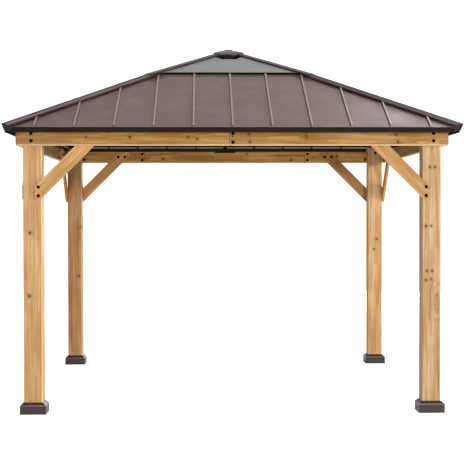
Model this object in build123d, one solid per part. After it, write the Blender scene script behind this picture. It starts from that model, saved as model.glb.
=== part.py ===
# Timber post-and-beam garden gazebo with a two-tier sheet-steel hip roof.
# Millimetres, +Z up, origin on the ground under the centre of the roof, front along -Y.
from build123d import *
from math import sqrt
import os

os.makedirs("parts", exist_ok=True)

# Timber frame
POST = 139.7            # square section of the posts, also the height of the beams
POST_FACE = 1553.0      # centre of the gazebo to the outer face of a post
BRACE_T = 19.0          # thickness of a knee brace, and of the packers beside it
LAYER_T = 16.0          # thickness of one layer of a beam, which has two
GLUE_GAP = 0.5          # between the layers and between butted boards
BEAM_Z = 1991.0         # underside of the beams
SIDE_SHORT = 12.0       # front and back beams stop this far inside the side beams' faces
OUTER_JOINT = -26.0     # butt joint of the outer layer, along the beam
INNER_JOINT = 800.0     # butt joints of the inner layer, each side of the middle
EASE = 3.0              # eased long edges of the beams
POST_EASE = 6.0         # rounded long edges of the posts
PACKER_CUT = 32.0       # the packers stop this far under the beam's top, clear of the rail

# Knee braces, measured outward from the middle of a side
BRACE_AXIS = 3085.0     # outward distance plus height, along the 45 degree centre line
BRACE_W = 98.0
BRACE_FOOT = 1600.0     # height of the level cut at the foot
BRACE_OUT = 1462.5      # plumb cut at the foot
BRACE_IN = 948.0        # plumb cut at the head
BRACE_TOP = 2100.0
BRACE_ROUND = 12.0

# Post skirts
SKIRT = 193.0
SKIRT_WALL_H = 66.0
SKIRT_H = 88.0
SKIRT_T = 2.5
SKIRT_CLEAR = 0.5

# Lower roof
EAVE = 1676.0           # centre to the face of the fascia
EAVE_Z = 2121.0
LOW_PITCH = 0.4706      # rise over run
SHEET = 2.0
PANEL_HEAD = 562.0      # upper end of the lower sheets, under the upper tier
SEAM_PITCH = 291.0
SEAM_COUNT = 11
SEAM_W = 13.0
SEAM_H = 14.0
SEAM_FOOT = 1670.0
SEAM_HEAD = 614.0
MITRE_GAP = 0.6
FASCIA_H = 36.0
FASCIA_T = 2.0
FASCIA_RETURN = 20.0
FASCIA_HALF = 1623.0    # half length, up to the tips of the hip caps

# Lower hip caps, as a section across the hip: offset from the hip, height above the hip line
CAP_SECTION = [(36, -6), (34, 5), (14, 26), (9, 30)]
CAP_TIP = 1690.0        # centre to the tip of a cap, cut square with the eaves
CAP_HEAD = 568.0        # upper end, under the foot of the upper trim
CAP_T = 2.5
NOSE_TOP = 2146.0       # below this height the closed tip leans in
NOSE_BOTTOM = 2096.0
NOSE_FOOT = 1672.0      # centre to the bottom edge of the tip
NOTCH_CLEAR = 3.5       # round the seams, in the edge of the cap
SEAM_TUCK = 26.0        # offset from the hip that the seams reach under the cap

# Upper tier
TIER = 600.0            # centre to the lower edge of the skylight panels
TIER_Z = 2647.0
UP_PITCH = 0.42
GLAZING = 6.0
GLAZING_LIP = 14.0
GLAZING_LIP_T = 4.0
GLAZING_HIP_GAP = 5.0
VENT_FLAT = (50.0, 229.0)     # corner of the vent opening nearest the middle of a side
VENT_HIP = 145.0              # corner of the vent opening on the hip
GLAZING_CUT = (38.0, 552.0)   # corner cut out round the head of the hip cap: half width, start
TRIM_SECTION = [(46, -11), (44, -2), (12, 10), (7, 11)]
TRIM_FOOT = 672.0
TRIM_HEAD = 100.0
TRIM_T = 2.0
CURB_OUT = 592.0
CURB_IN = 566.0

# Roof cap
ROOF_CAP = 128.0
ROOF_CAP_Z = 2860.5
ROOF_CAP_LIP = 8.0
ROOF_CAP_SHOULDER = (46.0, 2896.0)
ROOF_CAP_KNOB = (34.0, 2906.0)
ROOF_CAP_T = 2.5

# Steel under-frame
TUBE_W = 30.0
TUBE_H = 40.0
RAFTER_FOOT = 1545.0
RAFTER_SEAT = 60.0      # run of the foot that stands on the post's head
RAFTER_DROP = 7.1       # hip rafter's top below the hip line, so that its edges touch the sheets
HUB_R = 116.0
HUB_T = 4.0
HUB_Z = (2780.0, 2850.0)
RAIL_T = 2.0
RAIL_LEG = 29.0
RAIL_IN = 1570.0
MID_FOOT = 1598.0
BRACKET = (210.0, 3.0, 42.0)  # plate of the bracket at a mid rafter's foot
BRACKET_ROUND = 8.0
CHEEK_RUN = 60.0
PURLIN = 25.0

BEAM_IN = POST_FACE + BRACE_T
BEAM_OUT = BEAM_IN + 2 * LAYER_T
BEAM_TOP = BEAM_Z + POST
SIDES = {"front": 0, "right": 90, "back": 180, "left": 270}
CORNERS = {"front_left": 0, "front_right": 90, "back_right": 180, "back_left": 270}


def save(shape, name):
    export_step(shape, f"parts/{name}.step")


def low_z(run):
    """Height of the top face of the lower sheets at a distance from the centre."""
    return EAVE_Z + LOW_PITCH * (EAVE - run)


def up_z(run):
    """Height of the top face of the skylight at a distance from the centre."""
    return TIER_Z + UP_PITCH * (TIER - run)


def turned(shape, angle):
    return Rot(0, 0, angle) * shape


def group(pieces):
    """Loose solids that share one sub-part."""
    return Compound([solid for piece in pieces for solid in piece.solids()])


def bar(section, half):
    """A level bar along X from a section of (y, z) points, reaching half each way."""
    face = Plane.YZ * make_face(Polyline(*section, close=True))
    return extrude(face, amount=half, both=True)


def mitred(shape, gap, reach=2000.0):
    """Keeps the part of a front piece between the two hips, less a gap at each."""
    wedge = make_face(Polyline((0, -gap), (reach, -reach - gap), (-reach, -reach - gap), close=True))
    return shape & extrude(wedge, amount=4000)


def hip_prism(outline, z_of, foot, head):
    """A bar along the front left hip from an outline of (offset from the hip, height above the hip line)."""
    start = Vector(-foot, -foot, z_of(foot))
    run = Vector(-head, -head, z_of(head)) - start
    plane = Plane(origin=start, x_dir=(1, -1, 0), z_dir=(-1, -1, 0))
    return extrude(plane * make_face(Polyline(*outline, close=True)), amount=run.length, dir=run)


def folded(section, thickness, drop=0.0):
    """Outer and inner outline of a folded channel, open below, from the points of one half."""
    outer = section + [(-u, h) for u, h in reversed(section)]
    inner = [(u - thickness if u > 0 else u + thickness, h - thickness - drop) for u, h in outer]
    inner[0] = (inner[0][0], outer[0][1] - 1)
    inner[-1] = (inner[-1][0], outer[-1][1] - 1)
    return outer, inner


def hip_channel(section, z_of, foot, head, thickness):
    outer, inner = folded(section, thickness)
    return hip_prism(outer, z_of, foot, head) - hip_prism(inner, z_of, foot + thickness, head - thickness)


def tapered_block(half, foot_half, low, high):
    """Square block that leans in below the top of the cap's tip."""
    leaning = loft([Plane.XY.offset(low) * Rectangle(2 * foot_half, 2 * foot_half),
                    Plane.XY.offset(NOSE_TOP) * Rectangle(2 * half, 2 * half)])
    upright = Pos(0, 0, NOSE_TOP) * extrude(Rectangle(2 * half, 2 * half), amount=high - NOSE_TOP)
    return leaning + upright


def hip_cap():
    """Lower hip cap: leaning box tip at its foot, edges notched for the seams, head under the trim."""
    width = CAP_SECTION[0][0]
    reach = CAP_TIP + width
    top = TIER_Z + UP_PITCH * TIER
    block = tapered_block(CAP_TIP, NOSE_FOOT, NOSE_BOTTOM, top)
    hollow = tapered_block(CAP_TIP - CAP_T, NOSE_FOOT - CAP_T, NOSE_BOTTOM + CAP_T, top)
    body = hip_channel(CAP_SECTION, low_z, reach, CAP_HEAD, CAP_T) & block
    outline = [(width, -4 * width)] + CAP_SECTION[1:]
    outline += [(-u, h) for u, h in reversed(outline)]
    tip = hip_prism(outline, low_z, reach, reach - 3 * width) & (block - hollow)
    inner = folded(TRIM_SECTION, TRIM_T, drop=0.5)[1]
    above_trim = [(inner[0][0], inner[1][1])] + inner[1:-1] + [(inner[-1][0], inner[-2][1])]
    above_trim += [(inner[-1][0], 3 * width), (inner[0][0], 3 * width)]
    result = body + tip - hip_prism(above_trim, up_z, TRIM_FOOT - 20, CAP_HEAD - 20)
    for i in range(1, SEAM_COUNT // 2 + 1):
        x = i * SEAM_PITCH
        slot = seam_bar(x, x + SEAM_TUCK * sqrt(2) - NOTCH_CLEAR, x + 2 * width, NOTCH_CLEAR)
        result -= slot
        result -= Rot(0, 0, -90) * mirror(slot, Plane.YZ)
    return result


def post():
    centre = POST_FACE - POST / 2
    timber = Box(POST, POST, BEAM_TOP, align=(Align.CENTER, Align.CENTER, Align.MIN))
    timber = fillet(timber.edges().filter_by(Axis.Z), POST_EASE)
    return Pos(-centre, -centre, 0) * timber


def skirt():
    """Folded steel skirt: upright walls, then a slope in to the post."""
    def pyramid(half, wall, top_half, top):
        walls = extrude(Rectangle(2 * half, 2 * half), amount=wall)
        slope = loft([Plane.XY.offset(wall) * Rectangle(2 * half, 2 * half),
                      Plane.XY.offset(top) * Rectangle(2 * top_half, 2 * top_half)])
        return walls + slope

    centre = POST_FACE - POST / 2
    neck = POST / 2 + SKIRT_CLEAR
    outer = pyramid(SKIRT / 2, SKIRT_WALL_H, neck + SKIRT_T / 2, SKIRT_H)
    inner = pyramid(SKIRT / 2 - SKIRT_T, SKIRT_WALL_H - SKIRT_T / 2, neck, SKIRT_H - SKIRT_T)
    hole = extrude(Rectangle(2 * neck, 2 * neck), amount=SKIRT_H)
    return Pos(-centre, -centre, 0) * (outer - inner - hole)


def board(x0, x1, y0, y1):
    timber = Box(x1 - x0, y1 - y0, POST)
    return Pos((x0 + x1) / 2, (y0 + y1) / 2, BEAM_Z + POST / 2) * timber


def beam(half):
    """Two-layer beam: two outer boards, three inner boards and a packer at each post."""
    gap = GLUE_GAP / 2
    split = BEAM_IN + LAYER_T
    outer = [board(-half, OUTER_JOINT - gap, -BEAM_OUT, -split - gap),
             board(OUTER_JOINT + gap, half, -BEAM_OUT, -split - gap)]
    eased = []
    for piece in outer:
        long_edges = piece.edges().filter_by(Axis.X).sort_by(Axis.Y)[:2]
        eased.append(chamfer(long_edges, EASE))
    middle = board(-INNER_JOINT + gap, INNER_JOINT - gap, -split + gap, -BEAM_IN)
    ends = []
    for side in (-1, 1):
        x0, x1 = sorted((side * (INNER_JOINT + gap), side * half))
        end = board(x0, x1, -split + gap, -BEAM_IN)
        packer = Box(POST - 2, BRACE_T, POST - PACKER_CUT)
        packer = Pos(side * (POST_FACE - POST / 2), -POST_FACE - BRACE_T / 2,
                     BEAM_Z + (POST - PACKER_CUT) / 2) * packer
        ends.append(end + packer)
    return group([*eased, middle, *ends])


def brace(side):
    """Knee brace flat on the outer face of the post, its head inside the beam."""
    low = BRACE_AXIS - BRACE_W / sqrt(2)
    high = BRACE_AXIS + BRACE_W / sqrt(2)
    outline = [(BRACE_OUT, BRACE_FOOT), (low - BRACE_FOOT, BRACE_FOOT), (BRACE_IN, low - BRACE_IN),
               (BRACE_IN, BRACE_TOP), (high - BRACE_TOP, BRACE_TOP), (BRACE_OUT, high - BRACE_OUT)]
    face = Plane.XZ * make_face(Polyline(*[(side * x, z) for x, z in outline], close=True))
    timber = Pos(0, -POST_FACE, 0) * extrude(face, amount=BRACE_T)
    corners = timber.edges().filter_by(Axis.Y)
    return fillet(corners, BRACE_ROUND)


def seam_bar(x, head, foot, clear=0.0):
    """Standing seam at a distance left of the middle, or the slot that clears it."""
    low, high = SHEET + clear, SEAM_H + clear
    section = [(-foot, low_z(foot) - low), (-head, low_z(head) - low), (-head, low_z(head) + high),
               (-foot, low_z(foot) + high)]
    return Pos(-x, 0, 0) * bar(section, SEAM_W / 2 + clear)


def slope():
    """Lower roof slope: one sheet with standing seams that tuck under the hip caps."""
    foot = EAVE - FASCIA_T
    sheet = bar([(-foot, low_z(foot)), (-PANEL_HEAD, low_z(PANEL_HEAD)),
                 (-PANEL_HEAD, low_z(PANEL_HEAD) - SHEET), (-foot, low_z(foot) - SHEET)], EAVE)
    result = mitred(sheet, MITRE_GAP)
    for i in range(SEAM_COUNT):
        x = (i - SEAM_COUNT // 2) * SEAM_PITCH
        head = max(SEAM_HEAD, abs(x) + SEAM_TUCK * sqrt(2))
        result += seam_bar(x, head, SEAM_FOOT)
    return result


def fascia():
    """Folded eave trim: upright face, flange under the sheet and a return along the bottom."""
    face, back = EAVE, EAVE - FASCIA_T
    tongue = back - FASCIA_RETURN
    under = SHEET + 0.1
    section = [(-face, EAVE_Z - FASCIA_H), (-face, EAVE_Z), (-back, EAVE_Z), (-back, low_z(back) - under),
               (-tongue, low_z(tongue) - under), (-tongue, low_z(tongue) - under - FASCIA_T),
               (-back, low_z(back) - under - FASCIA_T), (-back, EAVE_Z - FASCIA_H + FASCIA_T),
               (-tongue, EAVE_Z - FASCIA_H + FASCIA_T), (-tongue, EAVE_Z - FASCIA_H)]
    return bar(section, FASCIA_HALF)


def corner_cut():
    """Room round the heads of the two hip caps at the ends of the front of the upper tier."""
    half, start = GLAZING_CUT
    cut = Box(2 * half, TIER * sqrt(2), 6 * half, align=(Align.CENTER, Align.MAX, Align.CENTER))
    cut = Rot(0, 0, -45) * Pos(0, -start * sqrt(2), TIER_Z) * cut
    return cut + mirror(cut, Plane.YZ)


def skylight():
    """Polycarbonate panel of the upper tier, with a turned-down lip and its share of the vent opening."""
    head = VENT_HIP - 20
    sheet = bar([(-TIER, up_z(TIER)), (-head, up_z(head)), (-head, up_z(head) - GLAZING),
                 (-TIER + GLAZING_LIP_T, up_z(TIER - GLAZING_LIP_T) - GLAZING),
                 (-TIER + GLAZING_LIP_T, up_z(TIER) - GLAZING_LIP), (-TIER, up_z(TIER) - GLAZING_LIP)], TIER)
    sheet = mitred(sheet, GLAZING_HIP_GAP)
    flat_x, flat_y = VENT_FLAT
    vent = make_face(Polyline((-flat_x, -flat_y), (flat_x, -flat_y), (VENT_HIP, -VENT_HIP), (VENT_HIP, 0),
                              (-VENT_HIP, 0), (-VENT_HIP, -VENT_HIP), close=True))
    return sheet - extrude(vent, amount=4000) - corner_cut()


def curb():
    """Steel curb between the lower sheets and the skylight, one bar a side."""
    gap = 0.2
    section = [(-CURB_OUT, low_z(CURB_OUT) + gap), (-CURB_IN, low_z(CURB_IN) + gap),
               (-CURB_IN, up_z(CURB_IN) - GLAZING - gap), (-CURB_OUT, up_z(CURB_OUT) - GLAZING - gap)]
    return mitred(bar(section, CURB_OUT), 1.0) - corner_cut()


def roof_cap():
    """Square pyramid vent cap with a lip and a small raised top."""
    def pyramid(inset):
        rings = [(ROOF_CAP, ROOF_CAP_Z), (ROOF_CAP, ROOF_CAP_Z + ROOF_CAP_LIP), ROOF_CAP_SHOULDER]
        solid = extrude(Plane.XY.offset(rings[0][1]) * Rectangle(*(2 * (ROOF_CAP - inset),) * 2),
                        amount=ROOF_CAP_LIP - inset)
        low = Plane.XY.offset(rings[1][1] - inset) * Rectangle(*(2 * (ROOF_CAP - inset),) * 2)
        high = Plane.XY.offset(rings[2][1] - inset) * Rectangle(*(2 * (rings[2][0] - inset),) * 2)
        return solid + loft([low, high])

    knob_half, knob_top = ROOF_CAP_KNOB
    shoulder_z = ROOF_CAP_SHOULDER[1]
    knob = extrude(Plane.XY.offset(shoulder_z) * Rectangle(2 * knob_half, 2 * knob_half),
                   amount=knob_top - shoulder_z)
    knob = chamfer(knob.faces().sort_by(Axis.Z)[-1].edges(), 4)
    return pyramid(0) - pyramid(ROOF_CAP_T) + knob


def upper_trim():
    """Folded trim over the hip joint of the skylight, open at its foot where it laps the hip cap."""
    outer, inner = folded(TRIM_SECTION, TRIM_T)
    return hip_prism(outer, up_z, TRIM_FOOT, TRIM_HEAD) - hip_prism(inner, up_z, TRIM_FOOT + 5, TRIM_HEAD - 5)


def hip_rafter():
    """Bent tube from the post's head to the hub, along the front left hip."""
    side = sqrt(2)
    end = HUB_R / side + 0.5
    top = [(RAFTER_FOOT, low_z(RAFTER_FOOT) - RAFTER_DROP), (TIER, low_z(TIER) - RAFTER_DROP),
           (end, up_z(end) - GLAZING - RAFTER_DROP)]
    heel = RAFTER_FOOT - RAFTER_SEAT
    bottom = [(r, z - TUBE_H) for r, z in reversed(top[1:])]
    bottom += [(heel, low_z(heel) - RAFTER_DROP - TUBE_H), (heel, BEAM_TOP), (RAFTER_FOOT, BEAM_TOP)]
    plane = Plane(origin=(0, 0, 0), x_dir=(-1, -1, 0), z_dir=(-1, 1, 0))
    face = plane * make_face(Polyline(*[(r * side, z) for r, z in top + bottom], close=True))
    return extrude(face, amount=TUBE_W / 2, both=True)


def mid_rafter():
    """Tube from the middle of a beam to the purlin, its foot cut level to stand on the rail."""
    seat = BEAM_TOP + RAIL_T
    head = CURB_OUT - 2
    top = [(-MID_FOOT, low_z(MID_FOOT) - SHEET), (-head, low_z(head) - SHEET)]
    cut = MID_FOOT - (seat - (top[0][1] - TUBE_H)) / LOW_PITCH
    bottom = [(-head, top[1][1] - TUBE_H), (-cut, seat), (-MID_FOOT, seat)]
    return bar(top + bottom, TUBE_W / 2)


def rafter_bracket():
    """Folded bracket at a mid rafter's foot: a plate down the rail's inner face, two cheeks beside the tube."""
    width, thick, height = BRACKET
    seat = BEAM_TOP + RAIL_T
    plate = Pos(0, -RAIL_IN + thick / 2, seat - height / 2) * Box(width, thick, height)
    result = fillet(plate.edges().filter_by(Axis.Y), BRACKET_ROUND)
    inner = -RAIL_IN + thick
    head = seat + (CHEEK_RUN + RAIL_IN - MID_FOOT) * LOW_PITCH
    cheek = bar([(-RAIL_IN, seat - height / 2), (inner, seat - height / 2), (inner, seat),
                 (-RAIL_IN + CHEEK_RUN, head), (-RAIL_IN, head)], thick / 2)
    for side in (-1, 1):
        result += Pos(side * (TUBE_W + thick + 0.2) / 2, 0, 0) * cheek
    return result


def purlin():
    """Tier purlin under the head of the lower sheets, cut to fit between two hip rafters."""
    out, inner = CURB_OUT - 3, CURB_OUT - 3 - PURLIN
    section = [(-out, low_z(out) - SHEET), (-inner, low_z(inner) - SHEET),
               (-inner, low_z(inner) - SHEET - PURLIN), (-out, low_z(out) - SHEET - PURLIN)]
    return mitred(bar(section, out), TUBE_W / 2 * sqrt(2) + 1)


def rail():
    """Black angle along the inner top edge of a beam."""
    leg = [(-RAIL_IN, BEAM_TOP + RAIL_T), (-RAIL_IN - RAIL_LEG, BEAM_TOP + RAIL_T),
           (-RAIL_IN - RAIL_LEG, BEAM_TOP), (-RAIL_IN - RAIL_T, BEAM_TOP),
           (-RAIL_IN - RAIL_T, BEAM_TOP - RAIL_LEG), (-RAIL_IN, BEAM_TOP - RAIL_LEG)]
    return mitred(bar(leg, RAIL_IN + RAIL_LEG), 1.0)


def hub():
    """Round hub that the hip rafters meet at."""
    low, high = HUB_Z
    tube = Cylinder(HUB_R, high - low) - Cylinder(HUB_R - HUB_T, high - low)
    return Pos(0, 0, (low + high) / 2) * tube


def four(piece):
    return group([turned(piece, angle) for angle in SIDES.values()])


for name, angle in CORNERS.items():
    save(turned(post(), angle), f"{name}_post")
    save(turned(skirt(), angle), f"{name}_skirt")
    save(turned(hip_cap(), angle), f"{name}_hip_cap")

for name, angle in SIDES.items():
    half = BEAM_OUT - SIDE_SHORT if name in ("front", "back") else BEAM_IN - GLUE_GAP
    save(turned(beam(half), angle), f"{name}_beam")
    save(turned(brace(-1), angle), f"{name}_brace_left")
    save(turned(brace(1), angle), f"{name}_brace_right")
    save(turned(slope(), angle), f"{name}_slope")
    save(turned(fascia(), angle), f"{name}_fascia")
    save(turned(skylight(), angle), f"{name}_skylight")

save(four(upper_trim()), "upper_hip_trims")
save(four(curb()), "tier_curb")
save(roof_cap(), "roof_cap")
save(four(hip_rafter()), "hip_rafters")
save(four(mid_rafter()), "mid_rafters")
save(four(rafter_bracket()), "rafter_brackets")
save(four(purlin()), "tier_purlins")
save(four(rail()), "beam_rails")
save(hub(), "rafter_hub")
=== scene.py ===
from math import copysign, cos, pi, radians, sin, sqrt

import bmesh
import bpy
from mathutils import Matrix, Vector


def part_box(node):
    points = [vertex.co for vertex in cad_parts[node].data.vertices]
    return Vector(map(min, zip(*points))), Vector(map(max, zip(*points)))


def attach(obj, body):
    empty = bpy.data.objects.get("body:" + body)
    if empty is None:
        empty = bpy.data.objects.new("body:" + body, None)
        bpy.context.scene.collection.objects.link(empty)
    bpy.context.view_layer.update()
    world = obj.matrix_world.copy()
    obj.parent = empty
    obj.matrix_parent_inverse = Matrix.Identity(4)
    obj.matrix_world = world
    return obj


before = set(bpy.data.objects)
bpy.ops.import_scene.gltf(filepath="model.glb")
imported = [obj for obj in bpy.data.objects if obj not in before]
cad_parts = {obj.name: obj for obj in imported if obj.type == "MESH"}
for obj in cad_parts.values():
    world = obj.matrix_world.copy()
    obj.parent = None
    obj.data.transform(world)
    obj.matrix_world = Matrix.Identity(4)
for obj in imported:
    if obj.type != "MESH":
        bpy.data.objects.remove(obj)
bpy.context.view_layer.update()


# Posts: four 140 mm square softwood timbers, planed with rounded long edges and stained a light
# honey tone, each post's tone scaled with painted light and shade. Each is cut from its own log,
# with a few small knots; the long edges are worn a little pale, with a painted highlight on +X.
CORNERS = ("front_left", "front_right", "back_right", "back_left")
POST_HALF = 0.0698
POST_HEART = 1.4832      # from the middle of the gazebo to the middle of a post, each way
POST_PALE, POST_DARK, KNOT = "DDB37F", "A46E38", "4E2608"
# Shares of red, green and blue for each post: its staining, with painted light and shade.
POST_STAIN_AND_LIGHT = {
    "front_left": (0.9, 0.93, 0.98), "front_right": (0.75, 0.85, 1.0),
    "back_right": (0.93, 1.0, 1.05), "back_left": (0.69, 0.67, 0.61),
}
POST_KNOTS = {
    "front_left": [(-1.503, 1.346, 0.01), (-1.509, 0.879, 0.01)],
    "front_right": [
        (1.469, 1.833, 0.008), (1.506, 1.833, 0.008), (1.44, 1.394, 0.01), (1.477, 1.394, 0.008),
        (1.448, 1.058, 0.008), (1.486, 1.058, 0.008), (1.441, 0.991, 0.008), (1.478, 0.998, 0.007),
    ],
    "back_right": [(1.497, 1.232, 0.009), (1.472, 1.133, 0.008)],
    "back_left": [(-1.423, 1.355, 0.011), (-1.444, 0.872, 0.01)],
}
# pale of the worn edges, and of the painted highlight on the sunny edges
EDGE_WEAR_AND_HIGHLIGHT = "EBC58A"
EDGE_BAND = (0.0115, 0.0065)      # from the corner of the section: the pale band starts, is full
EDGE_SHARE = (0.1, 0.6)             # shaded edges: wear; sunny edges: wear and painted highlight
EDGE_TURN = (-0.05, 0.05)           # where a post turns from its shaded to its sunny side
POST_SEED, POST_SEED_STEP = 2.3, 5  # a seed chooses the place in the log
WOOD_MIRROR = 0.15
UPRIGHT = (0, 0, 0)


def linear(code):
    """Linear colour of a six-figure screen colour such as D6AE80."""
    parts = [int(code[i : i + 2], 16) / 255 for i in (0, 2, 4)]
    return (*[c / 12.92 if c <= 0.04045 else ((c + 0.055) / 1.055) ** 2.4 for c in parts], 1)


def tinted(code, tone_shares):
    """A colour under red, green and blue shares: the wood's staining, with painted light and shade."""
    return (*[share * part for share, part in zip(tone_shares, linear(code))], 1)


class Net:
    """Adds nodes to one shader tree. A link may be given wherever a value may, and out is the
    number or the name of the output that is wanted."""

    def __init__(self, tree):
        self.tree = tree

    def feed(self, socket, value):
        if isinstance(value, bpy.types.NodeSocket):
            self.tree.links.new(value, socket)
        else:
            socket.default_value = value

    def add(self, kind, out=0, settings=None, **inputs):
        node = self.tree.nodes.new("ShaderNode" + kind)
        for key, value in (settings or {}).items():
            setattr(node, key, value)
        for key, value in inputs.items():
            self.feed(node.inputs[key], value)
        return node.outputs[out]

    def in_order(self, kind, settings, values, out=0):
        """A node whose inputs are fed in the order in which they stand on it."""
        output = self.add(kind, out, settings)
        for socket, value in zip(output.node.inputs, values):
            self.feed(socket, value)
        return output

    def math(self, operation, *values, clamp=False):
        return self.in_order("Math", {"operation": operation, "use_clamp": clamp}, values)

    def vector(self, operation, *values, out="Vector"):
        return self.in_order("VectorMath", {"operation": operation}, values, out)

    def ramp(self, value, low, high, to_low=0.0, to_high=1.0):
        """Eases from to_low to to_high as the value goes from low to high."""
        settings = {"interpolation_type": "SMOOTHSTEP"}
        return self.in_order("MapRange", settings, (value, low, high, to_low, to_high))

    def noise(self, place, scale, detail=2.0, rough=0.5):
        return self.add("TexNoise", Vector=place, Scale=scale, Detail=detail, Roughness=rough)

    def part(self, vector, axis):
        return self.add("SeparateXYZ", axis, Vector=vector)

    def mix(self, share, a, b, blend="MIX"):
        node = self.tree.nodes.new("ShaderNodeMix")
        node.data_type = "RGBA"
        node.blend_type = blend
        for socket, value in ((node.inputs[0], share), (node.inputs[6], a), (node.inputs[7], b)):
            self.feed(socket, value)
        return node.outputs[2]

    def group(self, tree, **inputs):
        node = self.tree.nodes.new("ShaderNodeGroup")
        node.node_tree = tree
        for key, value in inputs.items():
            self.feed(node.inputs[key], value)
        return node.outputs


class Finish(Net):
    """One material: its shader, and the place of the point that is shaded. mirror is how strongly
    the surface mirrors the room."""

    def __init__(self, name, mirror=0.5):
        self.material = bpy.data.materials.new(name)
        self.material.use_nodes = True
        super().__init__(self.material.node_tree)
        self.shader = self.tree.nodes["Principled BSDF"]
        self.shader.inputs["Specular IOR Level"].default_value = mirror
        self.spot = self.add("TexCoord", "Object")

    def show(self, colour, rough, normal):
        for label, value in (("Base Color", colour), ("Roughness", rough), ("Normal", normal)):
            self.feed(self.shader.inputs[label], value)

    def lay_over(self, share, code):
        """Lays a screen colour over the colour that the shader has so far."""
        socket = self.shader.inputs["Base Color"]
        self.feed(socket, self.mix(share, socket.links[0].from_socket, linear(code)))

    def paint(self, *names):
        for name in names:
            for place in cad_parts[name].material_slots:
                place.material = self.material


def new_group(name, inputs, outputs):
    tree = bpy.data.node_groups.new(name, "ShaderNodeTree")
    for in_out, sockets in (("INPUT", inputs), ("OUTPUT", outputs)):
        for label, kind in sockets.items():
            tree.interface.new_socket(label, in_out=in_out, socket_type="NodeSocket" + kind)
    given = tree.nodes.new("NodeGroupInput").outputs
    result = tree.nodes.new("NodeGroupOutput").inputs
    return tree, Net(tree), given, result


def softwood_grain():
    """Planed pine whose grain runs along Z: nearly straight rings round a far pith, bent round
    hidden knots, under streaks, fibres and clouds of paler and darker wood."""
    tree, net, given, result = new_group(
        "softwood grain",
        {"Place": "Vector", "Seed": "Float", "Pale": "Color", "Dark": "Color", "Knot": "Color",
         "Heart": "Float"},
        {"Color": "Color", "Height": "Float", "Gloss": "Float"},
    )
    log_step, pith = (0.37, 0.59, 0.83), (0.19, -0.13, 0)
    rings, ring_wobble, ring_bend = 95.0, 9.0, 2.6
    shift = net.add("VectorMath", settings={"operation": "SCALE"}, Vector=log_step, Scale=given["Seed"])
    place = net.vector("ADD", given["Place"], shift)

    # hidden knots, one in each cell whose colour says so
    cell = net.add("TexVoronoi", Vector=net.vector("MULTIPLY", place, (1, 1, 0.3)), Scale=5.2)
    chance = net.add("SeparateColor", Color=cell.node.outputs["Color"])
    there = net.math("GREATER_THAN", chance, 0.35)
    knot_edge = net.math("ADD", cell, net.math("MULTIPLY", net.noise(place, 90), 0.03))
    knot = net.math("MULTIPLY", net.ramp(knot_edge, 0.075, 0.045), there)
    near = net.math("MULTIPLY", net.ramp(cell, 0.33, 0.0), there)

    # rings: pale early wood that darkens to a sharp line of late wood
    long_way = net.vector("MULTIPLY", place, (1, 1, 0.05))
    across = net.vector("MULTIPLY", place, (1, 1, 0))
    ring = net.vector("DISTANCE", across, net.vector("ADD", shift, pith), out="Value")
    wobble = net.math("MULTIPLY", net.noise(long_way, 5.5, 3), ring_wobble)
    ring = net.math("ADD", net.math("MULTIPLY", ring, rings), wobble)
    ring = net.math("ADD", ring, net.math("MULTIPLY", near, ring_bend))
    late = net.math("POWER", net.math("FRACT", ring), 2.6)

    # streaks and fibres along the piece, then broad dark and sappy pale clouds
    streak = net.ramp(net.noise(long_way, 46, 6, 0.66), 0.38, 0.64)
    fibre = net.noise(net.vector("MULTIPLY", place, (1, 1, 0.02)), 420, 2)
    tone = net.math("ADD", net.math("MULTIPLY", late, 0.42), net.math("MULTIPLY", streak, 0.45))
    ripple = net.math("MULTIPLY", net.math("SUBTRACT", fibre, 0.5), 0.3)
    tone = net.math("ADD", tone, ripple, clamp=True)
    broad = net.ramp(net.noise(net.vector("MULTIPLY", place, (1, 1, 0.3)), 9.0, 3, 0.6), 0.36, 0.66)
    sap = net.ramp(net.noise(net.vector("MULTIPLY", place, (1, 1, 0.16)), 22, 4, 0.65), 0.5, 0.64)
    colour = net.mix(tone, given["Pale"], given["Dark"])
    colour = net.mix(net.math("MULTIPLY", broad, 0.4), colour, given["Dark"])
    colour = net.mix(net.math("MULTIPLY", sap, 0.5), colour, given["Pale"], "SOFT_LIGHT")
    colour = net.mix(net.math("MULTIPLY", net.ramp(near, 0.45, 0.95), 0.35), colour, given["Knot"])
    knot = net.math("MAXIMUM", knot, given["Heart"])
    colour = net.mix(net.math("MULTIPLY", knot, 0.85), colour, given["Knot"])

    height = net.math("ADD", net.math("MULTIPLY", late, -0.35), net.math("MULTIPLY", fibre, 0.5))
    net.feed(result["Color"], colour)
    net.feed(result["Height"], net.math("SUBTRACT", height, net.math("MULTIPLY", knot, 0.6)))
    net.feed(result["Gloss"], net.math("ADD", 0.5, net.math("MULTIPLY", late, 0.16)))
    return tree


GRAIN = softwood_grain()


def chosen_knots(net, spot, knots):
    """How near a point is to a knot: 1 in its heart, 0 away from it. A knot is an (x, z, radius)."""
    flat = net.vector("MULTIPLY", spot, (1, 0, 1))
    uneven = net.math("MULTIPLY", net.math("SUBTRACT", net.noise(spot, 160, 2), 0.5), 0.004)
    nearest = 0.0
    for x, z, radius in knots:
        away = net.math("ADD", net.vector("DISTANCE", flat, (x, 0, z), out="Value"), uneven)
        heart = net.ramp(away, radius * 1.5, radius * 0.7)
        halo = net.ramp(away, radius * 3.4, radius * 1.2, 0.0, 0.3)
        nearest = net.math("MAXIMUM", nearest, net.math("MAXIMUM", heart, halo))
    return nearest


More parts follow.
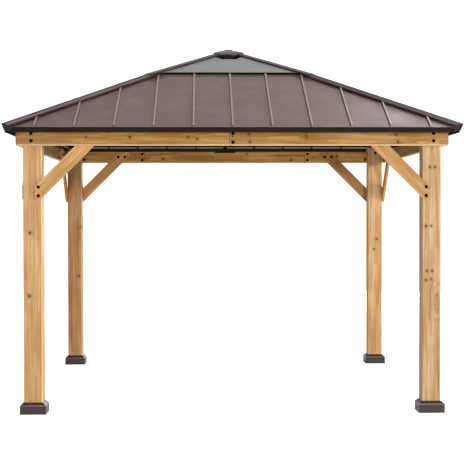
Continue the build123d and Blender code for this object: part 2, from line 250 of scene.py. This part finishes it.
def plane(wood, seed, pale, dark, turn=UPRIGHT, knots=()):
    """Makes a finish planed and stained pine, its grain turned off the upright."""
    settings = {"rotation_type": "EULER_XYZ"}
    turned = wood.add("VectorRotate", settings=settings, Vector=wood.spot, Rotation=turn)
    heart = chosen_knots(wood, wood.spot, knots)
    tones = {"Pale": pale, "Dark": dark, "Knot": linear(KNOT)}
    grain = wood.group(GRAIN, Place=turned, Seed=seed, Heart=heart, **tones)
    bump = wood.add("Bump", Strength=0.35, Distance=0.0012, Height=grain["Height"])
    wood.show(grain["Color"], grain["Gloss"], bump)


def wear_and_light_long_edges(wood, middle):
    """Wear on a post's four long edges, and a painted highlight on the two on the sunny +X side."""
    reach = wood.vector("SUBTRACT", wood.spot, middle)
    to_edge = wood.vector("SUBTRACT", wood.vector("ABSOLUTE", reach), (POST_HALF, POST_HALF, 0))
    away = wood.vector("LENGTH", wood.vector("MULTIPLY", to_edge, (1, 1, 0)), out="Value")
    sun = wood.ramp(wood.part(reach, "X"), *EDGE_TURN, *EDGE_SHARE)
    wood.lay_over(wood.math("MULTIPLY", wood.ramp(away, *EDGE_BAND), sun), EDGE_WEAR_AND_HIGHLIGHT)


for i, corner in enumerate(CORNERS):
    wood = Finish(f"{corner}_post_wood", WOOD_MIRROR)
    tones = [tinted(code, POST_STAIN_AND_LIGHT[corner]) for code in (POST_PALE, POST_DARK)]
    plane(wood, POST_SEED + POST_SEED_STEP * i, *tones, knots=POST_KNOTS[corner])
    x = POST_HEART if "right" in corner else -POST_HEART
    y = POST_HEART if "back" in corner else -POST_HEART
    wear_and_light_long_edges(wood, (x, y, 0))
    wood.paint(f"{corner}_post")


# Post skirts: dark brown boxes of folded and powder-coated steel with a sloping top, slipped over
# the posts' feet, with a painted highlight along the upper fold, painted shade on the sloping top
# and painted shade, nearly black, at the ground.
SKIRT_FOLD = 0.066                  # height of the upper fold
FOLD_LIT = (0.0055, 0.001)       # from the fold: the painted highlight starts, is full
# heights where the painted shade of the sloping top starts, is full
SLOPE_SHADED = (SKIRT_FOLD + 0.004, SKIRT_FOLD + 0.007)
GROUND_SHADED = (0.009, 0.004)     # height where the painted shade starts, is full
# the slope, fold and ground colours are painted shade, painted highlight and painted shade
SKIRT_BROWN, SKIRT_DRAWN, SKIRT_SLOPE_SHADE = "2C1C1B", "3C2C2A", "231716"
SKIRT_FOLD_HIGHLIGHT, SKIRT_GROUND_SHADE, SKIRT_DUST = "8E7874", "120C0B", "4E3D3B"
FOLD_ANGLE = 35                     # degrees; what turns by more is a fold


def powder_coat():
    """Baked coat on steel, with clouds of dust, pale specks and a fine orange-peel skin."""
    tree, net, given, result = new_group(
        "powder coat",
        {"Place": "Vector", "Coat": "Color", "Dust": "Color", "Dustiness": "Float"},
        {"Color": "Color", "Height": "Float", "Gloss": "Float"},
    )
    place = given["Place"]
    cloud = net.math("MULTIPLY", net.ramp(net.noise(place, 2.4, 4, 0.6), 0.35, 0.7), given["Dustiness"])
    speck = net.math("MULTIPLY", net.ramp(net.noise(place, 260, 2), 0.56, 0.7), 0.05)
    net.feed(result["Color"], net.mix(net.math("ADD", cloud, speck), given["Coat"], given["Dust"]))
    net.feed(result["Height"], net.noise(place, 700, 2))
    net.feed(result["Gloss"], net.ramp(net.noise(place, 5.5, 3), 0.3, 0.7, 0.0, 0.1))
    return tree


COAT = powder_coat()


def bake(steel, coat, dust, dustiness, rough, sheet_normal=None):
    """Bakes a powder coat on a finish; sheet_normal carries the waves of a thin sheet."""
    skin = steel.group(COAT, Place=steel.spot, Coat=coat, Dust=linear(dust), Dustiness=dustiness)
    bump = steel.add("Bump", Strength=0.12, Distance=0.0003, Height=skin["Height"])
    if sheet_normal is not None:
        steel.feed(bump.node.inputs["Normal"], sheet_normal)
    steel.show(skin["Color"], steel.math("ADD", rough, skin["Gloss"]), bump)


def soften(name, width):
    """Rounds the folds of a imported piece, so that they catch the light."""
    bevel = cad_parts[name].modifiers.new("soft folds", "BEVEL")
    bevel.width = width
    bevel.segments = 2
    bevel.limit_method = "ANGLE"
    bevel.angle_limit = radians(FOLD_ANGLE)
    bevel.harden_normals = False


skirt = Finish("skirt_coat", mirror=0.35)
height = skirt.part(skirt.spot, "Z")
from_fold = skirt.math("ABSOLUTE", skirt.math("SUBTRACT", height, SKIRT_FOLD))
fold = skirt.ramp(from_fold, *FOLD_LIT)
slope = skirt.ramp(height, *SLOPE_SHADED)
ground = skirt.ramp(height, *GROUND_SHADED)
drawn = skirt.ramp(skirt.noise(skirt.vector("MULTIPLY", skirt.spot, (0.6, 0.6, 30)), 9, 2), 0.45, 0.7)
coat = linear(SKIRT_BROWN)
# drawn lines, then painted shade on the slope, a painted highlight at the fold, painted shade at the
# ground
for place, share, code in (
    (drawn, 0.35, SKIRT_DRAWN), (slope, 0.6, SKIRT_SLOPE_SHADE),
    (fold, 0.75, SKIRT_FOLD_HIGHLIGHT), (ground, 0.85, SKIRT_GROUND_SHADE),
):
    coat = skirt.mix(skirt.math("MULTIPLY", place, share), coat, linear(code))
bake(skirt, coat, SKIRT_DUST, dustiness=0.12, rough=0.42)
for corner in CORNERS:
    skirt.paint(f"{corner}_skirt")
    soften(f"{corner}_skirt", width=0.002)


# Beams: two layers of boards on edge under each side of the roof, a tone deeper than the posts,
# each side's tone scaled with painted light and shade. The outer layer is butted a little off the
# middle, the inner layer at both quarters, and the lower edges carry a pale painted highlight.
SIDES = {"front": 0, "right": 90, "back": 180, "left": 270}
BEAM_PALE, BEAM_DARK = "C08E4C", "80511A"
# Shares of red, green and blue for each side: its staining, with painted light and shade.
BEAM_STAIN_AND_LIGHT = {
    "front": (0.87, 0.95, 1.15), "right": (0.66, 0.86, 1.2),
    "back": (1.38, 1.55, 1.95), "left": (0.72, 0.87, 1.0),
}
BEAM_KNOTS = {
    "front": [
        (-1.082, 2.053, 0.007), (-0.759, 2.053, 0.01), (-0.332, 2.053, 0.008), (-0.265, 2.038, 0.009),
        (0.118, 2.075, 0.009), (0.126, 2.016, 0.008), (0.539, 2.064, 0.007), (0.543, 2.042, 0.007),
        (1.21, 2.07, 0.009), (1.22, 2.02, 0.008),
    ],
    "back": [
        (-1.05, 2.07, 0.009), (-0.62, 2.03, 0.009), (0.22, 2.08, 0.008), (0.66, 2.02, 0.01),
        (1.12, 2.06, 0.009),
    ],
}
LAYER_SPLIT = 1.588                     # from the middle of the gazebo to the glue line
OUTER_JOINTS, INNER_JOINTS = [-0.026], [-0.8, 0.8]
JOINT_GAP = (0.0028, 0.0012)            # from a joint: its dark line starts, is full
# the second colour is a painted highlight along the beams' lower edges
JOINT_LINE, FOOT_HIGHLIGHT = "2E1C0E", "F2D3A4"
BEAM_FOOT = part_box("front_beam")[0][2]
# heights where the painted highlight along the lower edges starts, is full
FOOT_LIT = (BEAM_FOOT + 0.0075, BEAM_FOOT + 0.0055)
BEAM_SEED, BEAM_SEED_STEP, BOARD_SEED_STEP = 31.1, 7, 3.7


def butted(wood, axis, seed):
    """The seed of the board that a point lies in, and the dark line between two boards."""
    along = wood.part(wood.spot, axis)
    depth = wood.math("ABSOLUTE", wood.part(wood.spot, 1 - axis))
    line = 0.0
    for side_of_split, places in (("GREATER_THAN", OUTER_JOINTS), ("LESS_THAN", INNER_JOINTS)):
        here = wood.math(side_of_split, depth, LAYER_SPLIT)
        for at in places:
            beyond = wood.math("MULTIPLY", wood.math("GREATER_THAN", along, at), here)
            seed = wood.math("ADD", seed, wood.math("MULTIPLY", beyond, BOARD_SEED_STEP))
            away = wood.math("ABSOLUTE", wood.math("SUBTRACT", along, at))
            gap = wood.math("MULTIPLY", wood.ramp(away, *JOINT_GAP), here)
            line = wood.math("MAXIMUM", line, gap)
    return seed, line


for i, side in enumerate(SIDES):
    axis = 0 if side in ("front", "back") else 1
    wood = Finish(f"{side}_beam_wood", WOOD_MIRROR)
    seed, line = butted(wood, axis, BEAM_SEED + BEAM_SEED_STEP * i)
    tones = [tinted(code, BEAM_STAIN_AND_LIGHT[side]) for code in (BEAM_PALE, BEAM_DARK)]
    turn = (0, pi / 2, 0) if axis == 0 else (pi / 2, 0, 0)
    plane(wood, seed, *tones, turn, BEAM_KNOTS.get(side, ()))
    wood.lay_over(wood.math("MULTIPLY", line, 0.75), JOINT_LINE)
    # painted highlight along the lower edges
    foot_lit = wood.ramp(wood.part(wood.spot, "Z"), *FOOT_LIT)
    wood.lay_over(wood.math("MULTIPLY", foot_lit, 0.7), FOOT_HIGHLIGHT)
    wood.paint(f"{side}_beam")


# Knee braces: straight boards at 45 degrees with their grain along the slope, flat on the posts'
# faces and let in between the packers of the beams.
BRACE_PALE, BRACE_DARK = "D8A366", "AC7740"
# Shares of red, green and blue for the front and back braces: their staining, with painted light and
# shade.
BRACE_STAIN_AND_LIGHT = {
    "front_brace_left": (0.95, 1.08, 1.28), "front_brace_right": (0.76, 0.84, 1.0),
    "back_brace_right": (1.08, 1.18, 1.3), "back_brace_left": (0.7, 0.7, 0.68),
}
SIDE_BRACE_STAIN = (0.93, 0.93, 0.93)
BRACE_SEED, BRACE_SEED_STEP = 57, 3
SIDE_TURNS = {side: Matrix.Rotation(radians(angle), 3, "Z") for side, angle in SIDES.items()}
for i, side in enumerate(SIDES):
    for hand, lean in (("left", 1), ("right", -1)):
        name = f"{side}_brace_{hand}"
        along = SIDE_TURNS[side] @ Vector((lean, 0, 1))
        turn = along.rotation_difference(Vector((0, 0, 1))).to_euler("XYZ")
        wood = Finish(f"{name}_wood", WOOD_MIRROR)
        tone_shares = BRACE_STAIN_AND_LIGHT.get(name, SIDE_BRACE_STAIN)
        tones = [tinted(code, tone_shares) for code in (BRACE_PALE, BRACE_DARK)]
        plane(wood, BRACE_SEED + BRACE_SEED_STEP * i + lean, *tones, tuple(turn))
        wood.paint(name)


# Under-frame: black powder-coated tubes and angles that stand on the beams, with a welded hub, the
# curb of the upper tier, and folded brackets at the feet of the rafters.
def coated(name, coat, dust, rough, mirror=0.5):
    """A finish of one plain coat, lightly dusty."""
    steel = Finish(name, mirror)
    bake(steel, linear(coat), dust, dustiness=0.2, rough=rough)
    return steel


frame_coat = coated("frame_coat", coat="151313", dust="282423", rough=0.55, mirror=0.15)
frame_coat.paint("hip_rafters", "mid_rafters", "tier_purlins", "beam_rails", "rafter_hub", "tier_curb")
frame_coat.paint("rafter_brackets")


# Ribs and eave bars: a black steel rib closes each standing seam from below, but for the middle
# one, which lies on a rafter. Short black tubes lie between the rafters just inside the posts'
# line, screwed up into the ribs.
EAVE, EAVE_Z = 1.676, 2.121         # foot of the sheets: from the middle of the gazebo, height
LOW_PITCH, SHEET = 0.4706, 0.002    # slope and thickness of the sheets
SEAM_PITCH, SEAMS_EACH_WAY = 0.291, 5
RIB_W, RIB_H = 0.012, 0.008
RIB_FOOT, RIB_HEAD, RIB_HIP = 1.651, 0.596, 0.03
BAR_OUT, BAR_IN, BAR_BOTTOM = 1.56, 1.535, 2.15
BAR_MIDDLE_GAP, BAR_HIP_GAP = 0.022, 0.024


def under_sheet(run, drop=0.0):
    """Height of the lower sheets' underside at a distance from the middle, less a drop."""
    return EAVE_Z + LOW_PITCH * (EAVE - run) - SHEET - drop


def prism(mesh, near, far):
    """Solid between two outlines that have the same count of corners."""
    a = [mesh.verts.new(point) for point in near]
    b = [mesh.verts.new(point) for point in far]
    for k in range(len(a)):
        after = (k + 1) % len(a)
        mesh.faces.new((a[k], a[after], b[after], b[k]))
    mesh.faces.new(a)
    mesh.faces.new(b)


def straight_bar(mesh, turn, outline, start, end):
    """Solid with one (y, z) outline between two places along the eave of a side."""
    prism(mesh, *[[turn @ Vector((x, y, z)) for y, z in outline] for x in (start, end)])


def add_piece(name, mesh, finish, smooth=0):
    """Makes a fixed piece from a mesh; folds of less than smooth degrees are shaded round."""
    data = bpy.data.meshes.new(name)
    bmesh.ops.recalc_face_normals(mesh, faces=mesh.faces)
    mesh.to_mesh(data)
    mesh.free()
    data.materials.append(finish.material)
    piece = bpy.data.objects.new(name, data)
    bpy.context.collection.objects.link(piece)
    if smooth:
        data.shade_smooth()
        data.set_sharp_from_angle(angle=radians(smooth))
    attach(piece, "root")


ribs = bmesh.new()
for turn in SIDE_TURNS.values():
    for i in range(-SEAMS_EACH_WAY, SEAMS_EACH_WAY + 1):
        if i == 0:
            continue
        middle = i * SEAM_PITCH
        head = max(RIB_HEAD, abs(middle) + RIB_HIP)
        outline = [(-RIB_FOOT, under_sheet(RIB_FOOT)), (-head, under_sheet(head))]
        outline += [(-head, under_sheet(head, RIB_H)), (-RIB_FOOT, under_sheet(RIB_FOOT, RIB_H))]
        straight_bar(ribs, turn, outline, middle - RIB_W / 2, middle + RIB_W / 2)
add_piece("seam_ribs", ribs, frame_coat)

bars = bmesh.new()
for turn in SIDE_TURNS.values():
    outline = [(-BAR_OUT, under_sheet(BAR_OUT, RIB_H)), (-BAR_IN, under_sheet(BAR_IN, RIB_H))]
    outline += [(-BAR_IN, BAR_BOTTOM), (-BAR_OUT, BAR_BOTTOM)]
    for hand in (-1, 1):
        near = [turn @ Vector((hand * BAR_MIDDLE_GAP, y, z)) for y, z in outline]
        far = [turn @ Vector((hand * (-y - BAR_HIP_GAP), y, z)) for y, z in outline]
        prism(bars, near, far)
add_piece("eave_bars", bars, frame_coat)


# Lower roof: one brown sheet of thin steel a side with eleven standing seams. The crests carry a
# painted highlight, their feet on one side painted shade, and painted shadow runs under the hip
# caps; the underside's backing coat is painted pale, standing for light bounced up from the floor.
CREST_HALF, CREASE, CREASE_LEAN = 0.0066, 0.0112, 0.003
CREST_FACING = (0.45, 0.85)         # crest's upward facing: painted highlight starts, is full
HIP_SHADOWED = 0.045                  # from the hip to the edge of the painted shadow
LINE_FADE = 0.002                   # width over which a line fades out
SHEET_BROWN, SHEET_DUST, CREST_HIGHLIGHT = "5E423E", "78605B", "9F8580"
CREASE_SHADE, PRIMER_AND_BOUNCE = "2C201F", "B39C95"


def run_of(finish, side):
    """The coordinate that runs along the eave of a side."""
    return finish.part(finish.spot, "X" if side in ("front", "back") else "Y")


def from_hip(finish):
    """How far a point lies from the nearest hip, in plan."""
    x, y = [finish.math("ABSOLUTE", finish.part(finish.spot, axis)) for axis in "XY"]
    return finish.math("MULTIPLY", finish.math("ABSOLUTE", finish.math("SUBTRACT", x, y)), sqrt(0.5))


def facing_up(finish):
    return finish.part(finish.add("NewGeometry", "Normal"), "Z")


def seamed_sheet(side):
    sheet = Finish(f"{side}_sheet", mirror=0.6)
    along = run_of(sheet, side)
    up = facing_up(sheet)
    away = sheet.math("PINGPONG", along, SEAM_PITCH / 2)
    leaning = sheet.math("PINGPONG", sheet.math("ADD", along, CREASE_LEAN), SEAM_PITCH / 2)
    # painted highlight on the crests where they face up
    crest = sheet.math("LESS_THAN", away, CREST_HALF)
    crest = sheet.math("MULTIPLY", crest, sheet.ramp(up, *CREST_FACING))
    # painted shade at the foot of each seam, on one side
    crease = sheet.ramp(leaning, CREASE, CREASE - LINE_FADE)
    crease = sheet.math("MULTIPLY", crease, sheet.math("GREATER_THAN", away, CREST_HALF))
    # painted shadow along the sheet under the edge of the hip caps
    hip_shadow = sheet.ramp(from_hip(sheet), HIP_SHADOWED, HIP_SHADOWED - LINE_FADE)
    crease = sheet.math("MAXIMUM", crease, hip_shadow)
    coat = sheet.mix(sheet.math("MULTIPLY", crest, 0.8), linear(SHEET_BROWN), linear(CREST_HIGHLIGHT))
    coat = sheet.mix(sheet.math("MULTIPLY", crease, 0.85), coat, linear(CREASE_SHADE))
    # the underside's backing coat, painted pale to stand for light bounced up from the floor
    coat = sheet.mix(sheet.math("LESS_THAN", up, 0.0), coat, linear(PRIMER_AND_BOUNCE))
    waves = sheet.noise(sheet.vector("MULTIPLY", sheet.spot, (1, 1, 0.4)), 1.7, 1)
    wavy = sheet.add("Bump", Strength=0.12, Distance=0.03, Height=waves)
    bake(sheet, coat, SHEET_DUST, dustiness=0.2, rough=0.32, sheet_normal=wavy)
    return sheet


for side in SIDES:
    seamed_sheet(side).paint(f"{side}_slope")
    soften(f"{side}_slope", width=0.0012)


# Eave trims: folded steel along the foot of each slope, an upright face with a flange on the
# sheet and a return along the bottom. They are the darkest brown on the roof.
fascia_coat = coated("fascia_coat", coat="1E1211", dust="271B19", rough=0.6, mirror=0.08)
for side in SIDES:
    fascia_coat.paint(f"{side}_fascia")
    soften(f"{side}_fascia", width=0.0008)


# Hip caps: folded brown channels over the joints between the slopes, notched round the seams,
# with painted shade along the ridge and in the drip edge. Their closed tips match the eave trims.
RIDGE_BAND, RIDGE_SHADE_LINE, RIDGE_TIP, RIDGE_DUST = "624E49", "1A1110", "1E1514", "7A6967"
TIP_FACING = 0.35                   # what looks up less than this is a tip or a drip edge
SHADE_DEPTH = (0.92, 0.6)            # of the painted shade lines, on the left and on the right side
SHADE_TURN = (-0.1, 0.1)             # where they turn from the one to the other


def ridge_coat(name, crest, drip):
    """Brown band between two painted shade lines, at crest and drip from the hip."""
    cap = Finish(name, mirror=0.3)
    offset = from_hip(cap)
    ridge_shade = cap.ramp(offset, crest, crest - LINE_FADE)
    drip_shade = cap.ramp(offset, drip - LINE_FADE, drip)
    # painted shade along the ridge and the drip edge, deeper on the left side
    line = cap.math("MAXIMUM", ridge_shade, drip_shade)
    end = cap.math("LESS_THAN", facing_up(cap), TIP_FACING)
    depth = cap.ramp(cap.part(cap.spot, "X"), *SHADE_TURN, *SHADE_DEPTH)
    coat = cap.mix(cap.math("MULTIPLY", line, depth), linear(RIDGE_BAND), linear(RIDGE_SHADE_LINE))
    coat = cap.mix(end, coat, linear(RIDGE_TIP))
    rough = cap.math("ADD", 0.42, cap.math("MULTIPLY", end, 0.4))
    bake(cap, coat, RIDGE_DUST, dustiness=0.12, rough=rough)
    return cap


hip_cap_coat = ridge_coat("hip_cap_coat", crest=0.018, drip=0.0325)
for corner in CORNERS:
    hip_cap_coat.paint(f"{corner}_hip_cap")
    soften(f"{corner}_hip_cap", width=0.001)


# Skylight: grey tinted twin-wall polycarbonate on the curb, its flutes down the slope, with black
# rubber between the turned-down lip and the sheets below.
GREY, GREY_PALE, FLUTE = "646564", "787978", "8A8D8B"
FLUTE_HALF_PITCH, FLUTE_LINE = 0.008, 0.0016
PANEL_ROUGH = 0.28
SEAL_T, SEAL_CLEAR = 0.004, 0.0002      # from the lip to the rubber's outer and inner faces
SEAL_HALF = 0.545                       # half the length of a side's rubber
SEAL_LIFT, SEAL_LAP = 0.0008, 0.009     # its foot over the sheet, its top over the lip's foot


def fluted_panel(side):
    panel = Finish(f"{side}_skylight_sheet")
    away = panel.math("PINGPONG", run_of(panel, side), FLUTE_HALF_PITCH)
    rib = panel.ramp(away, 0.0, FLUTE_LINE, 1.0, 0.0)
    haze = panel.math("MULTIPLY", panel.ramp(panel.noise(panel.spot, 3.0, 3), 0.3, 0.7), 0.5)
    tint = panel.mix(haze, linear(GREY), linear(GREY_PALE))
    tint = panel.mix(panel.math("MULTIPLY", rib, 0.3), tint, linear(FLUTE))
    panel.show(tint, PANEL_ROUGH, panel.add("Bump", Strength=0.2, Distance=0.0006, Height=rib))
    return panel


for side in SIDES:
    fluted_panel(side).paint(f"{side}_skylight")
    soften(f"{side}_skylight", width=0.0012)

seal_rubber = coated("seal_rubber", coat="040404", dust="0E0D0D", rough=0.8, mirror=0.03)
lip_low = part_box("front_skylight")[0]
lip_run = -lip_low[1]
seal_foot = under_sheet(lip_run, -SHEET) + SEAL_LIFT
seal_top = lip_low[2] + SEAL_LAP
seal_in, seal_out = -lip_run - SEAL_CLEAR, -lip_run - SEAL_T
outline = [(seal_out, seal_foot), (seal_in, seal_foot), (seal_in, seal_top), (seal_out, seal_top)]
seals = bmesh.new()
for turn in SIDE_TURNS.values():
    straight_bar(seals, turn, outline, -SEAL_HALF, SEAL_HALF)
add_piece("skylight_seals", seals, seal_rubber)


# Upper hip trims: folded brown channels that clamp the joints between the skylight panels, lapped
# over the heads of the hip caps.
ridge_coat("upper_trim_coat", crest=0.011, drip=0.037).paint("upper_hip_trims")
soften("upper_hip_trims", width=0.0008)


# Vent cap: a pressed brown steel cap over the vent opening, which is edged with flat black rubber
# on the skylight panels.
TIER, TIER_Z, UP_PITCH = 0.6, 2.647, 0.42   # foot of the panels: reach and height; their slope
VENT_HIP, VENT_FLAT = 0.137, (0.05, 0.229)  # corners of the opening, on the hips and between them
VENT_SEAL = 0.012                           # width of the rubber
VENT_SEAL_LIFTS = (0.0004, 0.003)           # foot and top of the rubber above the panels
coated("roof_cap_coat", coat="675450", dust="7B6864", rough=0.4).paint("roof_cap")
soften("roof_cap", width=0.001)


def over_skylight(run):
    """Height of the skylight panels at a distance from the middle of the gazebo."""
    return TIER_Z + UP_PITCH * (TIER - run)


vent_edge = [(-VENT_HIP, VENT_HIP), (-VENT_FLAT[0], VENT_FLAT[1])]
vent_edge += [(-x, run) for x, run in reversed(vent_edge)]
vent_rim = [(x + copysign(VENT_SEAL / 2, x), run + VENT_SEAL) for x, run in vent_edge]
seals = bmesh.new()
for turn in SIDE_TURNS.values():
    for k in range(len(vent_edge) - 1):
        strip = (vent_edge[k], vent_edge[k + 1], vent_rim[k + 1], vent_rim[k])
        foot, top = [
            [turn @ Vector((x, -run, over_skylight(run) + lift)) for x, run in strip]
            for lift in VENT_SEAL_LIFTS
        ]
        prism(seals, foot, top)
add_piece("vent_seals", seals, seal_rubber)


# Bolts: black coach bolts with washers and domed heads, through the beams at every post, at the
# butt joints and at both ends of the braces, some from outside and some from inside. Capped nuts
# show on the posts' inner faces, and a small screw holds the board end at the outer joint.
POST_FACE, POST_WIDTH = 1.553, 0.1397
BEAM_IN, BEAM_OUT = 1.572, 1.604
BOLT_R, DOME_H = 0.009, 0.0028
WASHER_R, WASHER_T, WASHER_EASE = 0.0132, 0.0012, 0.0005
ROUND_STEPS = 20
SUNK = 0.001            # how far a fixing starts below the face that it lies on
WASHER = [(WASHER_R, -SUNK), (WASHER_R, WASHER_T - WASHER_EASE), (WASHER_R - WASHER_EASE, WASHER_T)]
DOME = [(BOLT_R * cos(a), WASHER_T + DOME_H * sin(a)) for a in (0.0, 0.35, 0.7, 1.05, 1.35)]
SCREW = [(0.005, -SUNK), (0.005, 0.001), (0.0035, 0.002)]
OUT, IN = 1, -1
bolt_coat = coated("bolt_coat", coat="050404", dust="100E0E", rough=0.55, mirror=0.06)


def turned_part(mesh, profile, at, way):
    """Spins a profile of (radius, height) about the line that leaves a place one way."""
    turn = Vector((0, 0, 1)).rotation_difference(way).to_matrix().to_4x4()
    place = Matrix.Translation(at) @ turn
    angles = [2 * pi * k / ROUND_STEPS for k in range(ROUND_STEPS)]
    rings = []
    for radius, height in profile:
        points = [place @ Vector((radius * cos(a), radius * sin(a), height)) for a in angles]
        rings.append([mesh.verts.new(point) for point in points])
    for low, high in zip(rings, rings[1:]):
        for k in range(ROUND_STEPS):
            after = (k + 1) % ROUND_STEPS
            mesh.faces.new((low[k], low[after], high[after], high[k]))
    mesh.faces.new(reversed(rings[0]))
    mesh.faces.new(rings[-1])


def bolts(name, spots, wall, way, profile=WASHER + DOME):
    """Bolts at (x, z) spots of one wall, on all four sides; way is out of or into the gazebo."""
    mesh = bmesh.new()
    for turn in SIDE_TURNS.values():
        for x, z in spots:
            turned_part(mesh, profile, turn @ Vector((x, -wall, z)), turn @ Vector((0, -way, 0)))
    add_piece(name, mesh, bolt_coat, smooth=FOLD_ANGLE)


def both_hands(*spots):
    return [(hand * x, z) for hand in (-1, 1) for x, z in spots]


bolts("post_bolts", both_hands((1.486, 2.08), (1.486, 2.025)) + [(0, 2.078), (0, 2.015)], BEAM_OUT, OUT)
bolts("board_end_screws", [(-0.004, 2.055)], BEAM_OUT, OUT, SCREW)
bolts("post_bolt_nuts", both_hands((1.483, 2.082)), POST_FACE - POST_WIDTH, IN)
bolts("beam_joint_bolts", both_hands((0.826, 2.082), (0.826, 2.019), (1.405, 2.025)), BEAM_IN, IN)
bolts("brace_head_bolts", both_hands((0.998, 2.051), (1.064, 2.051)), POST_FACE, IN)
bolts("brace_foot_bolts", both_hands((1.438, 1.686), (1.438, 1.621)), BEAM_IN, OUT)


# Stage: a white paper sweep under and behind the gazebo. A key at the front right, a weak fill at
# the front left and lamps at the side and the back light the timber. A card above the back and a
# lamp overhead light the sheets.
SWEEP_HALF, SWEEP_FRONT, SWEEP_BACK, SWEEP_TOP = 30.0, -16.0, 14.0, 30.0
SWEEP_BEND, SWEEP_STEPS = 8.0, 16
SWEEP_Z = -0.0005    # just below the feet of the skirts
BOUNCE = 0.85    # share of its paleness that the paper shows to the gazebo
MIRROR = 0.8     # the same in what the steel mirrors
GLOW = 0.8       # keeps the paper white to the eye
SKY = 0.24       # brightness of the room round the set


def sweep():
    angles = [pi / 2 * k / SWEEP_STEPS for k in range(SWEEP_STEPS + 1)]
    line = [(SWEEP_FRONT, 0.0)]
    line += [(SWEEP_BACK + SWEEP_BEND * sin(a), SWEEP_BEND - SWEEP_BEND * cos(a)) for a in angles]
    line.append((SWEEP_BACK + SWEEP_BEND, SWEEP_TOP))
    mesh = bmesh.new()
    left, right = [
        [mesh.verts.new((x, y, z + SWEEP_Z)) for y, z in line] for x in (-SWEEP_HALF, SWEEP_HALF)
    ]
    for k in range(len(line) - 1):
        mesh.faces.new((left[k], right[k], right[k + 1], left[k + 1]))
    data = bpy.data.meshes.new("sweep")
    mesh.to_mesh(data)
    mesh.free()
    data.shade_smooth()
    paper = Finish("sweep_paper")
    mirrored = paper.math("MULTIPLY", paper.add("LightPath", "Is Glossy Ray"), MIRROR)
    seen = paper.math("MAXIMUM", paper.add("LightPath", "Is Camera Ray"), mirrored)
    tooth = paper.ramp(paper.noise(paper.spot, 0.4, 2), 0.3, 0.7, 0.9, 0.92)
    grey = paper.math("MULTIPLY", tooth, paper.ramp(seen, 0.0, 1.0, BOUNCE, 1.0))
    white = paper.add("CombineColor", Red=grey, Green=grey, Blue=grey)
    paper.feed(paper.shader.inputs["Base Color"], white)
    paper.shader.inputs["Roughness"].default_value = 0.95
    paper.shader.inputs["Emission Color"].default_value = (1, 1, 1, 1)
    paper.feed(paper.shader.inputs["Emission Strength"], paper.math("MULTIPLY", seen, GLOW))
    data.materials.append(paper.material)
    piece = bpy.data.objects.new("sweep", data)
    bpy.context.collection.objects.link(piece)
    return piece


def lamp(name, at, target, size, watts, tint=(1, 1, 1)):
    light = bpy.data.lights.new(name, "AREA")
    light.shape = "RECTANGLE"
    light.size, light.size_y = size
    light.energy = watts
    light.color = tint
    piece = bpy.data.objects.new(name, light)
    piece.location = at
    piece.rotation_euler = (Vector(target) - Vector(at)).to_track_quat("-Z", "Y").to_euler()
    bpy.context.collection.objects.link(piece)


floor = sweep()
lamp("key", at=(4.4, -12, 2.9), target=(0, 0, 1.4), size=(0.9, 0.9), watts=620, tint=(1.0, 0.985, 0.965))
lamp("fill", at=(-4.6, -12, 1.5), target=(0, 0, 1.4), size=(3, 2.6), watts=290)
lamp("side", at=(12, -5.6, 4.0), target=(0, 0, 1.3), size=(3, 3), watts=1100)
lamp("roof_card", at=(5.8, 8, 11.2), target=(0.8, -1, 2.3), size=(6.4, 4), watts=260)
lamp("top", at=(0.6, -2.5, 12), target=(0, 0, 2.4), size=(4, 4), watts=380)
lamp("back", at=(4, 12, 3.4), target=(0, 0, 1.3), size=(3, 3), watts=750)
world = bpy.data.worlds.new("studio")
world.use_nodes = True
room = Net(world.node_tree)
backdrop = world.node_tree.nodes["Background"]
backdrop.inputs["Color"].default_value = (1, 1, 1, 1)
direct = room.add("LightPath", "Is Camera Ray")
room.feed(backdrop.inputs["Strength"], room.ramp(direct, 0.0, 1.0, SKY, 1.0))
bpy.context.scene.world = world
bpy.context.scene.view_settings.view_transform = "Standard"


# Camera: worked out from the edges of posts, skirts, beams and roof in the photograph. Its turns
# are in radians, and its focal length and middle in pixels of the photograph.
CAMERA_AT = (-0.2254, -10.5532, 1.4959)
YAW, PITCH, ROLL = 0.02152, -0.01995, -0.00116
FOCAL_PIXELS, PHOTO_PIXELS = 1211.85, 464
CENTRE_PIXEL = (228.66, 236.71)
camera_data = bpy.data.cameras.new("camera")
camera_data.sensor_width = 36.0
camera_data.lens = FOCAL_PIXELS / PHOTO_PIXELS * camera_data.sensor_width
camera_data.shift_x = 0.5 - CENTRE_PIXEL[0] / PHOTO_PIXELS
camera_data.shift_y = CENTRE_PIXEL[1] / PHOTO_PIXELS - 0.5
camera = bpy.data.objects.new("camera", camera_data)
facing = Matrix.Rotation(-YAW, 4, "Z") @ Matrix.Rotation(pi / 2 + PITCH, 4, "X")
facing = facing @ Matrix.Rotation(ROLL, 4, "Z")
camera.matrix_world = Matrix.Translation(CAMERA_AT) @ facing
bpy.context.collection.objects.link(camera)
bpy.context.scene.camera = camera
